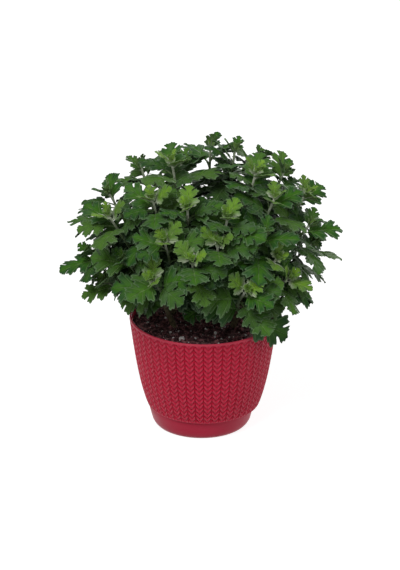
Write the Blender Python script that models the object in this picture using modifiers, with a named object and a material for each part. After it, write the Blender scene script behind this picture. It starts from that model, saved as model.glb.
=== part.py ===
# Pot chrysanthemum: a leafy plant of six pinched cuttings in a knit-relief plastic pot.
# The origin is the centre of the flat underside, +Z is up, and -Y is the front.

import math
import random

import bmesh
import bpy
from mathutils import Matrix, Vector, noise
from mathutils.bvhtree import BVHTree

MM = 0.001
FIT = 0.3 * MM  # room between two pieces that touch

# Pot body
RIM_RADIUS = 74.3 * MM
RIM_HEIGHT = 116.5 * MM
RIM_BAND = 3.0 * MM
LIP_HEIGHT = 21.8 * MM
SIDE_TAPER = 12.4 * MM
BELLY_DEPTH = 5.6 * MM
BELLY_POWER = 3.8
POT_WALL = 2.4 * MM
POT_FLOOR = 2.6 * MM
FOOT_TOP_RADIUS = 49.2 * MM
FOOT_BOTTOM_RADIUS = 43.5 * MM
DRAIN_RADIUS = 4.5 * MM
DRAIN_RING = 26.0 * MM
DRAIN_COUNT = 3

# Knit relief, larger than life: each stitch is a V of two raised arms
WALES = 18
STITCH_ROWS = 5
STITCH_RISE = 0.55  # how far the arms climb from the middle of the V, in stitches
KNIT_MARGIN = 1.5 * MM  # plain strip between the stitches and the rim band
ARM_RELIEF = 0.5 * MM
JOINT_RELIEF = 0.1 * MM  # where two arms meet
GROOVE_DEPTH = 1.0 * MM
RIM_ROUNDING = 0.5 * MM

# Base cup under the body, a little off the body's axis as in the photo
BASE_SHIFT = -2.0 * MM
BASE_TOP_RADIUS = 54.2 * MM
BASE_TOP = 21.3 * MM
BASE_WALL = 2.0 * MM
BASE_FLOOR = 2.6 * MM
BASE_BOTTOM_RADIUS = 44.5 * MM
BASE_SIDES = 28

# Soil
SOIL_TOP = 109.5 * MM
SOIL_LUMP = 1.6 * MM
INSIDE_SIDES = 22  # sides of the cavity and of the soil in it, which lie face to face

# Cuttings: where each main stem leaves the soil, and how high it was pinched
CUTTINGS = [(0, 4), (30, 18), (-30, 18), (-30, -16), (30, -16), (0, 36)]
CUTTING_DEPTH = 26.0 * MM
PINCH_HEIGHT = 24.0 * MM
PINCH_SPREAD = 1.25
TRUNK_RADIUS = 3.2 * MM
BRANCH_RADIUS = 1.9 * MM
TIP_RADIUS = 1.1 * MM
STUB_SHARE = 0.24  # share of a branch that is part of its cutting
DOME_CENTRE = Vector((0, 5, 140)) * MM
UPTURN = 0.5  # how far the end of a branch turns up from straight out of the dome

# Shoots: tip x, y, z in mm, length of the grown leaves in mm, where the first of them points when the shoot is
# seen from outside (degrees: 0 up, 90 left, 180 down, 270 right), and the kind of tip
SHOOTS = [
    (-50, -56, 263, 35, 90, "bright"),
    (-92, -50, 243, 35, 90, "bright"),
    (-93, -5, 249, 35, 90, "plain"),
    (-31, -10, 283, 36, 60, "bright"),
    (7, 44, 279, 35, 80, "plain"),
    (31, 20, 284, 34, 275, "plain"),
    (51, -20, 276, 34, 290, "bright"),
    (69, -40, 257, 34, 255, "bright"),
    (80, 30, 258, 35, 300, "plain"),
    (101, 2, 245, 38, 230, "bright"),
    (104, -22, 222, 38, 220, "plain"),
    (-16, -62, 256, 33, 130, "bright"),
    (23, -72, 250, 36, 100, "bright"),
    (14, -90, 230, 38, 190, "bright"),
    (-38, -86, 231, 36, 110, "bright"),
    (-11, -99, 216, 37, 180, "bright"),
    (-49, -93, 194, 39, 150, "bright"),
    (-77, -64, 203, 40, 130, "plain"),
    (-111, -26, 194, 40, 175, "plain"),
    (58, -70, 232, 37, 230, "plain"),
    (71, -70, 206, 37, 260, "bright"),
    (41, -98, 184, 37, 180, "bright"),
    (46, -86, 163, 37, 180, "plain"),
    (83, -60, 182, 36, 330, "bright"),
    (107, -8, 196, 39, 185, "plain"),
    (-2, -54, 148, 28, 120, "plain"),
    (-62, 45, 256, 37, 70, "plain"),
    (-105, 40, 210, 38, 170, "plain"),
    (-45, 88, 220, 38, 110, "plain"),
    (26, 96, 226, 38, 200, "plain"),
    (90, 64, 204, 38, 250, "plain"),
    (-64, 86, 166, 39, 150, "plain"),
    (32, 104, 168, 39, 210, "plain"),
    (-22, 42, 262, 36, 20, "plain"),
    (56, 48, 264, 36, 340, "plain"),
    (-95, -42, 170, 36, 160, "plain"),
]

# Leaf: half outlines in shares of the blade's length, from the stalk to the tip. The third value is the
# thickness there in shares of the rib's: a notch between two lobes is thick, and the lobes end in an edge.
GROWN_OUTLINE = [(0.035, 0.0, 0), (0.27, 0.12, 0), (0.43, 0.37, 0), (0.19, 0.45, 0.6), (0.43, 0.72, 0),
                 (0.15, 0.74, 0.6), (0.19, 0.93, 0)]
GROWN_RIB = [0.0, 0.4, 0.72, 1.0]
OLD_OUTLINE = [(0.035, 0.0, 0), (0.38, 0.25, 0), (0.2, 0.42, 0.6), (0.42, 0.7, 0), (0.16, 0.72, 0.6)]
OLD_RIB = [0.0, 0.5, 1.0]
YOUNG_OUTLINE = [(0.05, 0.0, 0), (0.33, 0.5, 0), (0.15, 0.58, 0.6)]
YOUNG_RIB = [0.0, 0.5, 1.0]
THIN = 0.02  # how thin a template is while its faces are made
RIB_THICKNESS = 1.3 * MM
YOUNG_COUNT = 3  # one less on a plain tip
GROWN_COUNT = 4
ROOT_RADIUS = 0.35 * MM
YOUNG_LENGTH = 15.0 * MM
YOUNG_STEP = 4.5 * MM
YOUNG_SPACING = 2.3 * MM
TIP_LENGTH = 9.0 * MM
GROWN_SPACING = 6.5 * MM
LOWER_SPACING = 16.0 * MM  # down to the last and lowest of the grown leaves
LOWER_SHARE = 0.36  # no leaf grows below this share of a branch
GROWN_SIZE = (0.88, 1.05, 1.08, 1.1)

# The soil shows in front: a leaf's tip stays above these heights, which rise towards the front
CLEAR_LEFT = 124.0 * MM
CLEAR_RIGHT = 92.0 * MM
CLEAR_RIGHT_FROM = 35.0 * MM
CLEAR_SLOPE = 0.43
LOW_SHOOT = 155.0 * MM  # a shoot that ends lower may droop to the soil
GOLDEN_ANGLE = math.radians(137.5)
CLEARANCE = 0.7 * MM
SEED = 7

LEAF_COLOURS = {"plain": (0.035, 0.11, 0.03), "bright": (0.16, 0.34, 0.05), "stem": (0.13, 0.14, 0.06)}


def clear_scene():
    for item in list(bpy.data.objects):
        bpy.data.objects.remove(item, do_unlink=True)


def new_collection(name):
    group = bpy.data.collections.new(name)
    bpy.context.scene.collection.children.link(group)
    return group


def material(name, colour, roughness):
    look = bpy.data.materials.new(name)
    look.use_nodes = True
    shader = look.node_tree.nodes["Principled BSDF"]
    shader.inputs["Base Color"].default_value = (*colour, 1)
    shader.inputs["Roughness"].default_value = roughness
    shader.inputs["Metallic"].default_value = 0
    look.diffuse_color = (*colour, 1)
    return look


def add_object(name, mesh, group, look=None):
    item = bpy.data.objects.new(name, mesh)
    group.objects.link(item)
    if look:
        mesh.materials.clear()
        mesh.materials.append(look)
    return item


def make_cutter(item):
    item.hide_render = True
    item.display_type = "WIRE"


def finished_mesh(item):
    # the object's mesh with its modifiers applied
    bpy.context.view_layer.update()
    graph = bpy.context.evaluated_depsgraph_get()
    return bpy.data.meshes.new_from_object(item.evaluated_get(graph))


def shade_round(mesh, angle=40):
    mesh.shade_smooth()
    mesh.set_sharp_from_angle(angle=math.radians(angle))


def pot_radius(height):
    down = (RIM_HEIGHT - height) / (RIM_HEIGHT - LIP_HEIGHT)
    return RIM_RADIUS - SIDE_TAPER * down - BELLY_DEPTH * max(down, 0) ** BELLY_POWER


def turned(name, profile, group, steps, look=None):
    # a closed profile of (radius, height), from the top of the axis down the outside to the bottom of the axis
    mesh = bpy.data.meshes.new(name)
    shape = bmesh.new()
    points = [shape.verts.new((radius, 0, height)) for radius, height in profile]
    for upper, lower in zip(points, points[1:]):
        shape.edges.new((upper, lower))
    shape.to_mesh(mesh)
    shape.free()
    item = add_object(name, mesh, group, look)
    screw = item.modifiers.new("Turn", "SCREW")
    screw.steps = steps
    screw.render_steps = steps
    screw.use_merge_vertices = True
    screw.merge_threshold = 0.00005
    screw.use_smooth_shade = False
    return item


def knit_shell(name, group, look):
    # the body as one solid: a grid wrapped round the pot, with the stitches raised by a formula
    columns = WALES * 4
    knit_top = RIM_HEIGHT - RIM_BAND
    stitch = (knit_top - LIP_HEIGHT - KNIT_MARGIN) / (STITCH_ROWS + STITCH_RISE)
    heights = [BASE_FLOOR + FIT, LIP_HEIGHT - 0.2 * MM]
    heights += [LIP_HEIGHT + stitch * row / 2 for row in range(2 * STITCH_ROWS + 1)]
    heights += [knit_top, RIM_HEIGHT]
    shape = bmesh.new()
    bmesh.ops.create_grid(shape, x_segments=columns, y_segments=len(heights) - 1, size=1)
    for point in shape.verts:
        column = round((point.co.x + 1) / 2 * columns)
        row = round((point.co.y + 1) / 2 * (len(heights) - 1))
        turn = 2 * math.pi * column / columns
        height = heights[row]
        radius = pot_radius(max(height, LIP_HEIGHT))
        if row == 0:
            radius = FOOT_BOTTOM_RADIUS
        elif row == 1:
            radius = FOOT_TOP_RADIUS
        elif row <= 2 * STITCH_ROWS + 2:
            # an odd row runs along the crests of the stitches and an even one along the grooves between them
            phase = column % 4
            if row > 2:
                height += stitch * STITCH_RISE * (1, 0.5, 0, 0.5)[phase]
            relief = -GROOVE_DEPTH
            if row % 2 == 1:
                relief = ARM_RELIEF if phase in (1, 3) else JOINT_RELIEF
            radius = pot_radius(height) + relief
        elif row == len(heights) - 1:
            radius -= RIM_ROUNDING
        point.co = (radius * math.cos(turn), radius * math.sin(turn), height)
    bmesh.ops.remove_doubles(shape, verts=shape.verts, dist=0.00005)
    rings = [edge for edge in shape.edges if edge.is_boundary]
    bmesh.ops.holes_fill(shape, edges=rings, sides=columns)
    bmesh.ops.triangulate(shape, faces=[face for face in shape.faces if len(face.verts) == 4])
    bmesh.ops.recalc_face_normals(shape, faces=shape.faces)
    mesh = bpy.data.meshes.new(name)
    shape.to_mesh(mesh)
    shape.free()
    shade_round(mesh, 14)
    return add_object(name, mesh, group, look)


def cavity_profile(room):
    # the inside of the pot body, smaller all round by the given room
    floor = BASE_FLOOR + FIT + POT_FLOOR
    profile = [(0, SOIL_TOP)]
    if room == 0:
        profile = [(0, RIM_HEIGHT + 5 * MM), (RIM_RADIUS - POT_WALL, RIM_HEIGHT + 5 * MM)]
    top = SOIL_TOP if room else RIM_HEIGHT
    wall_heights = [top, 72 * MM, 42 * MM, LIP_HEIGHT + 5 * MM]
    profile += [(pot_radius(height) - POT_WALL - room, height) for height in wall_heights]
    profile += [(FOOT_TOP_RADIUS - POT_WALL - room, LIP_HEIGHT - 2 * MM)]
    profile += [(FOOT_BOTTOM_RADIUS - POT_WALL - room, floor + room), (0, floor + room)]
    return profile


def cut(item, cutter):
    hole = item.modifiers.new("Cut", "BOOLEAN")
    hole.operation = "DIFFERENCE"
    hole.solver = "EXACT"
    hole.object = cutter


def make_pot(parts, cutters):
    look = material("pot plastic", (0.40, 0.016, 0.048), 0.42)
    pot = knit_shell("pot_body", parts, look)
    inside = turned("pot_inside_cutter", cavity_profile(0), cutters, INSIDE_SIDES)
    make_cutter(inside)
    cut(pot, inside)
    for index in range(DRAIN_COUNT):
        turn = 2 * math.pi * (index + 0.5) / DRAIN_COUNT
        shape = bmesh.new()
        bmesh.ops.create_cone(shape, cap_ends=True, segments=6, radius1=DRAIN_RADIUS, radius2=DRAIN_RADIUS,
                              depth=12 * MM)
        mesh = bpy.data.meshes.new("drain")
        shape.to_mesh(mesh)
        shape.free()
        drain = add_object(f"drain_cutter_{index + 1}", mesh, cutters)
        drain.location = (DRAIN_RING * math.cos(turn), DRAIN_RING * math.sin(turn), BASE_FLOOR + FIT)
        make_cutter(drain)
        cut(pot, drain)
    return pot


def make_base(parts):
    look = material("base plastic", (0.42, 0.018, 0.052), 0.36)
    inner_top = BASE_TOP_RADIUS - BASE_WALL
    profile = [
        (0, BASE_FLOOR),
        (FOOT_BOTTOM_RADIUS + 3 * MM, BASE_FLOOR),
        (inner_top, BASE_TOP),
        (BASE_TOP_RADIUS, BASE_TOP),
        (50.9 * MM, 9.0 * MM),
        (48.6 * MM, 2.9 * MM),
        (BASE_BOTTOM_RADIUS, 0),
        (0, 0),
    ]
    base = turned("pot_base", profile, parts, BASE_SIDES, look)
    base.data = finished_mesh(base)
    base.modifiers.clear()
    shade_round(base.data, 40)
    base.location.x = BASE_SHIFT
    return base


def soil_height(x, y):
    lump = noise.noise(Vector((x, y, 0)) * 55) + 0.5 * noise.noise(Vector((x, y, 0.3)) * 130)
    return SOIL_TOP + SOIL_LUMP * lump


def make_soil(parts, cutters):
    look = material("soil", (0.022, 0.012, 0.010), 0.95)
    edge = pot_radius(SOIL_TOP) - POT_WALL - FIT
    profile = [(0, SOIL_TOP)] + [(edge * share, SOIL_TOP) for share in (0.4, 0.75)]
    profile += cavity_profile(FIT)[1:]
    rough = turned("soil_turned", profile, parts, INSIDE_SIDES)
    mesh = finished_mesh(rough)
    bpy.data.objects.remove(rough, do_unlink=True)
    for point in mesh.vertices:
        if point.co.z > SOIL_TOP - 0.1 * MM:
            point.co.z = soil_height(point.co.x, point.co.y)
    soil = add_object("soil", mesh, parts, look)
    for index, (x, y) in enumerate(CUTTINGS):
        shape = bmesh.new()
        bmesh.ops.create_cone(shape, cap_ends=True, segments=6, radius1=TRUNK_RADIUS + 0.8 * MM,
                              radius2=TRUNK_RADIUS + 0.8 * MM, depth=60 * MM)
        hole_mesh = bpy.data.meshes.new("stem_hole")
        shape.to_mesh(hole_mesh)
        shape.free()
        hole = add_object(f"stem_hole_cutter_{index + 1}", hole_mesh, cutters)
        hole.location = (x * MM, y * MM, SOIL_TOP - CUTTING_DEPTH - FIT + 30 * MM)
        make_cutter(hole)
        cut(soil, hole)
    return soil


def curve_point(start, control, end, share):
    # a point and its direction on a three-point curve
    near = start.lerp(control, share)
    far = control.lerp(end, share)
    return near.lerp(far, share), (far - near).normalized()


def branch_route(pinch, tip):
    # a branch leaves the pinch and ends with its tip turned outwards and up
    outward = (tip - DOME_CENTRE).normalized()
    facing = (outward + Vector((0, 0, UPTURN))).normalized()
    control = tip - facing * (tip - pinch).length * 0.5
    return pinch, control, tip


def tube(name, points, radii, group, resolution):
    curve = bpy.data.curves.new(name, "CURVE")
    curve.dimensions = "3D"
    curve.bevel_depth = 1
    curve.bevel_resolution = resolution
    curve.use_fill_caps = True
    spline = curve.splines.new("POLY")
    spline.points.add(len(points) - 1)
    for knot, point, radius in zip(spline.points, points, radii):
        knot.co = (*point, 1)
        knot.radius = radius
    path = add_object(name, curve, group)
    mesh = finished_mesh(path)
    bpy.data.objects.remove(path, do_unlink=True)
    shape = bmesh.new()
    shape.from_mesh(mesh)
    bmesh.ops.remove_doubles(shape, verts=shape.verts, dist=0.00002)
    bmesh.ops.triangulate(shape, faces=shape.faces)
    shape.to_mesh(mesh)
    shape.free()
    return mesh


def leaf_template(outline, ribs):
    # a flat leaf: x across, y from -1 at the root of the stalk to 1 at the tip, z 1 or -1 on the rib's two faces
    shape = bmesh.new()
    ring = [shape.verts.new((x, y, 0)) for x, y, thickness in outline]
    ring += [shape.verts.new((0, y, 0)) for y in reversed(ribs)]
    half = shape.faces.new(ring)
    half.normal_update()
    bmesh.ops.triangulate(shape, faces=[half])
    geometry = shape.verts[:] + shape.edges[:] + shape.faces[:]
    bmesh.ops.mirror(shape, geom=geometry, matrix=Matrix.Identity(4), merge_dist=0.0001, axis="X")
    for face in shape.faces:
        if face.normal.z < 0:
            face.normal_flip()
    geometry = shape.verts[:] + shape.edges[:] + shape.faces[:]
    copied = bmesh.ops.duplicate(shape, geom=geometry)["geom"]
    under = {item for item in copied if isinstance(item, bmesh.types.BMVert)}
    bmesh.ops.reverse_faces(shape, faces=[item for item in copied if isinstance(item, bmesh.types.BMFace)])
    for point in shape.verts:
        half_thickness = 1 if abs(point.co.x) < 0.001 and point.co.y < 0.999 else 0
        for x, y, thickness in outline:
            if abs(abs(point.co.x) - x) < 0.001 and abs(point.co.y - y) < 0.001:
                half_thickness = thickness
        point.co.z = half_thickness * (-THIN if point in under else THIN)
    bmesh.ops.remove_doubles(shape, verts=shape.verts, dist=0.0001)
    mouth = [edge for edge in shape.edges if edge.is_boundary and max(end.co.y for end in edge.verts) < 0.001]
    for item in bmesh.ops.extrude_edge_only(shape, edges=mouth)["geom"]:
        if isinstance(item, bmesh.types.BMVert):
            item.co = (item.co.x * 0.5, -1, item.co.z * 0.5)
    close_notches(shape)
    bmesh.ops.holes_fill(shape, edges=[edge for edge in shape.edges if edge.is_boundary], sides=4)
    bmesh.ops.triangulate(shape, faces=shape.faces)
    bmesh.ops.recalc_face_normals(shape, faces=shape.faces)
    bmesh.ops.scale(shape, vec=(1, 1, 1 / THIN), verts=shape.verts)
    mesh = bpy.data.meshes.new("leaf template")
    shape.to_mesh(mesh)
    shape.free()
    return mesh


def close_notches(shape):
    # a notch's upper and lower points are joined, and each lobe's tip beside it gets a wall to them
    pairs = []
    for upper in shape.verts:
        for lower in shape.verts:
            flat = (upper.co - lower.co).to_2d().length
            if upper.co.z > 0 > lower.co.z and flat < 0.0001 and abs(upper.co.x) > 0.001 and upper.co.y > 0:
                pairs.append((upper, lower))
    for upper, lower in pairs:
        over = {edge.other_vert(upper) for edge in upper.link_edges if edge.is_boundary}
        under = {edge.other_vert(lower) for edge in lower.link_edges if edge.is_boundary}
        for tip in over & under:
            shape.faces.new((tip, upper, lower))


def leaf_points(template, leaf, extra):
    # the template's points bent into one leaf; extra swells it for the test of room
    points = []
    total = leaf["stalk"] + leaf["length"]
    bend = leaf["arch"] / total
    for point in template.vertices:
        x, y, side = point.co
        along = leaf["stalk"] * (1 + y) if y < 0 else leaf["stalk"] + leaf["length"] * y
        across = x * leaf["length"]
        if y < -0.5:
            across = math.copysign(ROOT_RADIUS, x) if abs(x) > 0.001 else 0
        swell = RIB_THICKNESS / 2 * side * leaf["thick"] + extra * (1 if side > 0 else -1 if side < 0 else 0)
        lift = abs(across) * leaf["fold"] - leaf["droop"] * across * across / leaf["length"]
        turn = bend * along
        forward = math.sin(turn) / bend
        up = (math.cos(turn) - 1) / bend
        normal = lift + swell
        forward += normal * math.sin(turn)
        up += normal * math.cos(turn)
        points.append(leaf["frame"] @ Vector((across * (1 + extra * 30), forward, up)))
    return points


def leaf_frame(root, stem_way, turn, tilt, roll):
    # x across the leaf, y out along it and z out of its upper face, for a leaf turned round its stem
    side = stem_way.cross(Vector((0, 0, 1)))
    side = side.normalized() if side.length > 0.01 else Vector((1, 0, 0))
    out = Matrix.Rotation(turn, 3, stem_way) @ side.cross(stem_way).normalized()
    along = (out * math.sin(tilt) + stem_way * math.cos(tilt)).normalized()
    across = along.cross(stem_way).normalized()
    face = across.cross(along).normalized()
    spin = Matrix.Rotation(roll, 3, along)
    across = spin @ across
    face = spin @ face
    frame = Matrix((across, along, face)).transposed().to_4x4()
    frame.translation = root
    return frame


def shows_soil(shoot, tip):
    clear = CLEAR_RIGHT if tip.x > CLEAR_RIGHT_FROM else CLEAR_LEFT
    return shoot["route"][2].z < LOW_SHOOT or tip.z > clear - CLEAR_SLOPE * tip.y


class Room:
    # everything placed so far, to find places where a new leaf is clear of it
    def __init__(self, pot_envelope):
        self.taken = []
        self.pot = pot_envelope

    def add(self, node, points, faces, blades):
        centre = sum(points, Vector()) / len(points)
        reach = max((point - centre).length for point in points)
        whole = BVHTree.FromPolygons(points, faces)
        blade = BVHTree.FromPolygons(points, blades) if blades else whole
        self.taken.append((node, centre, reach, whole, blade))

    def is_clear(self, node, points, faces, blades):
        centre = sum(points, Vector()) / len(points)
        reach = max((point - centre).length for point in points)
        whole = BVHTree.FromPolygons(points, faces)
        blade = BVHTree.FromPolygons(points, blades)
        if self.pot.overlap(whole):
            return False
        for other, other_centre, other_reach, other_whole, other_blade in self.taken:
            if (centre - other_centre).length > reach + other_reach:
                continue
            if other == node:
                if blade.overlap(other_blade):
                    return False
            elif whole.overlap(other_whole):
                return False
        return True


def pot_envelope():
    # the filled pot, a little larger than life, as a closed turned shape
    room = 1.6 * MM
    profile = [(0, SOIL_TOP + SOIL_LUMP + room), (RIM_RADIUS - POT_WALL - room, SOIL_TOP + SOIL_LUMP + room)]
    profile += [(RIM_RADIUS - POT_WALL - room, RIM_HEIGHT + room), (RIM_RADIUS + room, RIM_HEIGHT + room)]
    profile += [(pot_radius(height * MM) + room, height * MM) for height in (90, 60, 40, 25)]
    profile += [(BASE_TOP_RADIUS, 0), (0, 0)]
    item = turned("pot_envelope", profile, bpy.context.scene.collection, 32)
    mesh = finished_mesh(item)
    bpy.data.objects.remove(item, do_unlink=True)
    shape = bmesh.new()
    shape.from_mesh(mesh)
    tree = BVHTree.FromBMesh(shape)
    shape.free()
    return tree


def cutting_of(x, y):
    # inner shoots grow from the middle cutting, the others from the nearest one round it
    if math.hypot(x, y) < 34:
        return 0
    sides = range(1, len(CUTTINGS))
    return min(sides, key=lambda index: math.hypot(CUTTINGS[index][0] * 2.6 - x, CUTTINGS[index][1] * 2.6 - y))


def plan_shoots():
    shoots = []
    for index, (x, y, z, length, turn, kind) in enumerate(SHOOTS):
        tip = Vector((x, y, z)) * MM
        cutting = cutting_of(x, y)
        foot = CUTTINGS[cutting]
        pinch = Vector((foot[0] * MM * PINCH_SPREAD, foot[1] * MM * PINCH_SPREAD, SOIL_TOP + PINCH_HEIGHT))
        route = branch_route(pinch, tip)
        reach = sum((curve_point(*route, (k + 1) / 20)[0] - curve_point(*route, k / 20)[0]).length
                    for k in range(20))
        shoots.append({
            "name": f"shoot_{index + 1:02d}", "tip_name": f"tip_{index + 1:02d}", "cutting": cutting,
            "route": route, "reach": reach, "length": length * MM,
            "turn": math.radians(turn), "bright": kind == "bright", "plan": [], "tip_plan": [],
        })
    return shoots


def stem_radius(share):
    return BRANCH_RADIUS + (TIP_RADIUS - BRANCH_RADIUS) * share


def stem_stretch(shoot, first, last, count):
    # points and radii along a branch between two shares of its length
    points = []
    radii = []
    for step in range(count):
        share = first + (last - first) * step / (count - 1)
        points.append(curve_point(*shoot["route"], share)[0])
        radii.append(stem_radius(share))
    return points, radii


def build_stems(shoots, scratch):
    # the meshes of the cuttings, the shoots' stems and the tips' stems
    for shoot in shoots:
        gap = FIT / shoot["reach"]
        shoot["split"] = 1 - TIP_LENGTH / shoot["reach"] if shoot["bright"] else 1
        points, radii = stem_stretch(shoot, 0, STUB_SHARE, 2)
        shoot["stub"] = tube("stub", points, radii, scratch, 0)
        points, radii = stem_stretch(shoot, STUB_SHARE + gap * 1.6, shoot["split"], 4)
        shoot["stem"] = tube("stem", points, radii, scratch, 0)
        if shoot["bright"]:
            points, radii = stem_stretch(shoot, shoot["split"] + gap * 1.6, 1, 2)
            shoot["tip_stem"] = tube("tip_stem", points, radii, scratch, 0)


def mesh_faces(mesh):
    return [tuple(face.vertices) for face in mesh.polygons]


def plan_leaves(shoots, templates, room):
    # the youngest leaves of every shoot get their places first, then the grown ones, from the top down
    chance = random.Random(SEED)
    dropped = 0
    for rank in range(YOUNG_COUNT + GROWN_COUNT):
        young = rank < YOUNG_COUNT
        age = "young" if young else "grown" if rank == YOUNG_COUNT + 1 else "old"
        template = templates[age]
        faces = mesh_faces(template)
        blades = [face for face in faces if all(template.vertices[k].co.y > 0.1 for k in face)]
        for shoot in shoots:
            turn_noise = chance.uniform(-0.2, 0.2)
            size_noise = chance.uniform(0.92, 1.08)
            roll = chance.uniform(-0.25, 0.25)
            if young:
                below = 1.5 * MM + YOUNG_SPACING * rank
                length = (YOUNG_LENGTH + YOUNG_STEP * rank) * size_noise
                tilt = math.radians(16 + 13 * rank)
                stalk = 2.5 * MM + 1.0 * MM * rank
                arch = 0.25 + 0.1 * rank
                thick = 0.75
            else:
                grown = rank - YOUNG_COUNT
                below = TIP_LENGTH + 2 * MM + GROWN_SPACING * min(grown, 2) + LOWER_SPACING * max(grown - 2, 0)
                length = shoot["length"] * size_noise * GROWN_SIZE[grown]
                tilt = math.radians(47 + 11 * grown)
                stalk = 6 * MM + 2 * MM * grown
                arch = 0.4 + 0.12 * grown
                thick = 1
            plain_tip_done = rank == YOUNG_COUNT - 1 and not shoot["bright"]
            if plain_tip_done or 1 - below / shoot["reach"] < LOWER_SHARE:
                continue
            node = shoot["tip_name"] if young and shoot["bright"] else shoot["name"]
            root, way = curve_point(*shoot["route"], 1 - below / shoot["reach"])
            turn = shoot["turn"] + GOLDEN_ANGLE * (rank - YOUNG_COUNT) + turn_noise
            for attempt in range(24):
                swing = (attempt + 1) // 2 * (1 if attempt % 2 else -1) * 0.22
                shrink = 1 - 0.03 * (attempt // 2)
                leaf = {
                    "frame": leaf_frame(root, way, turn + swing, tilt - 0.04 * (attempt % 5), roll),
                    "length": length * shrink, "stalk": stalk, "arch": arch, "thick": thick,
                    "fold": 0.32 if young else 0.22, "droop": 0.5,
                }
                points = leaf_points(template, leaf, CLEARANCE)
                tip = max(points, key=lambda point: (point - root).length)
                if shows_soil(shoot, tip) and room.is_clear(node, points, faces, blades):
                    room.add(node, leaf_points(template, leaf, 0), faces, blades)
                    shoot["tip_plan" if node == shoot["tip_name"] else "plan"].append((leaf, age))
                    break
            else:
                dropped += 1
    print("leaves left out for want of room:", dropped)


def joined(name, mesh, extras, parts, look):
    # one closed body: the stem's mesh and everything that grows on it
    group = new_collection(name + " repeats")
    for index, extra in enumerate(extras):
        add_object(f"{name}_repeat_{index}", extra, group)
    item = add_object(name, mesh, parts, look)
    union = item.modifiers.new("Join", "BOOLEAN")
    union.operation = "UNION"
    union.solver = "EXACT"
    union.operand_type = "COLLECTION"
    union.collection = group
    result = finished_mesh(item)
    item.modifiers.clear()
    item.data = result
    result.materials.clear()
    result.materials.append(look)
    shade_round(result, 35)
    for extra in list(group.objects):
        bpy.data.objects.remove(extra, do_unlink=True)
    bpy.data.collections.remove(group)
    return item


def leaf_mesh(template, leaf):
    mesh = template.copy()
    flat = [value for point in leaf_points(template, leaf, 0) for value in point]
    mesh.vertices.foreach_set("co", flat)
    mesh.update()
    return mesh


def make_plant(parts, scratch):
    looks = {name: material("leaf " + name, colour, 0.55) for name, colour in LEAF_COLOURS.items()}
    templates = {
        "young": leaf_template(YOUNG_OUTLINE, YOUNG_RIB),
        "grown": leaf_template(GROWN_OUTLINE, GROWN_RIB),
        "old": leaf_template(OLD_OUTLINE, OLD_RIB),
    }
    shoots = plan_shoots()
    build_stems(shoots, scratch)
    room = Room(pot_envelope())
    trunks = []
    for index, (x, y) in enumerate(CUTTINGS):
        foot = Vector((x * MM, y * MM, SOIL_TOP - CUTTING_DEPTH))
        soil_line = Vector((x * MM, y * MM, SOIL_TOP + 2 * MM))
        pinch = Vector((x * MM * PINCH_SPREAD, y * MM * PINCH_SPREAD, SOIL_TOP + PINCH_HEIGHT))
        top = pinch + (pinch - soil_line).normalized() * 2 * MM
        radii = [TRUNK_RADIUS, TRUNK_RADIUS, TRUNK_RADIUS * 0.8]
        trunks.append(tube("trunk", [foot, soil_line, top], radii, scratch, 0))
        name = f"cutting_{index + 1}"
        for mesh in [trunks[-1]] + [shoot["stub"] for shoot in shoots if shoot["cutting"] == index]:
            room.add(name, [point.co.copy() for point in mesh.vertices], mesh_faces(mesh), None)
    for shoot in shoots:
        room.add(shoot["name"], [point.co.copy() for point in shoot["stem"].vertices], mesh_faces(shoot["stem"]), None)
        if shoot["bright"]:
            mesh = shoot["tip_stem"]
            room.add(shoot["tip_name"], [point.co.copy() for point in mesh.vertices], mesh_faces(mesh), None)
    plan_leaves(shoots, templates, room)
    for index, trunk in enumerate(trunks):
        stubs = [shoot["stub"] for shoot in shoots if shoot["cutting"] == index]
        joined(f"cutting_{index + 1}", trunk, stubs, parts, looks["stem"])
    for shoot in shoots:
        blades = [leaf_mesh(templates[age], leaf) for leaf, age in shoot["plan"]]
        joined(shoot["name"], shoot["stem"], blades, parts, looks["plain"])
        if shoot["bright"]:
            blades = [leaf_mesh(templates[age], leaf) for leaf, age in shoot["tip_plan"]]
            joined(shoot["tip_name"], shoot["tip_stem"], blades, parts, looks["bright"])


def main():
    clear_scene()
    parts = new_collection("pot_chrysanthemum")
    cutters = new_collection("cutters")
    make_pot(parts, cutters)
    make_base(parts)
    make_soil(parts, cutters)
    make_plant(parts, cutters)


main()
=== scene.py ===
import math
import random

import bmesh
import bpy
from mathutils import Matrix, Vector, noise
from mathutils.bvhtree import BVHTree
from mathutils.kdtree import KDTree


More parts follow.
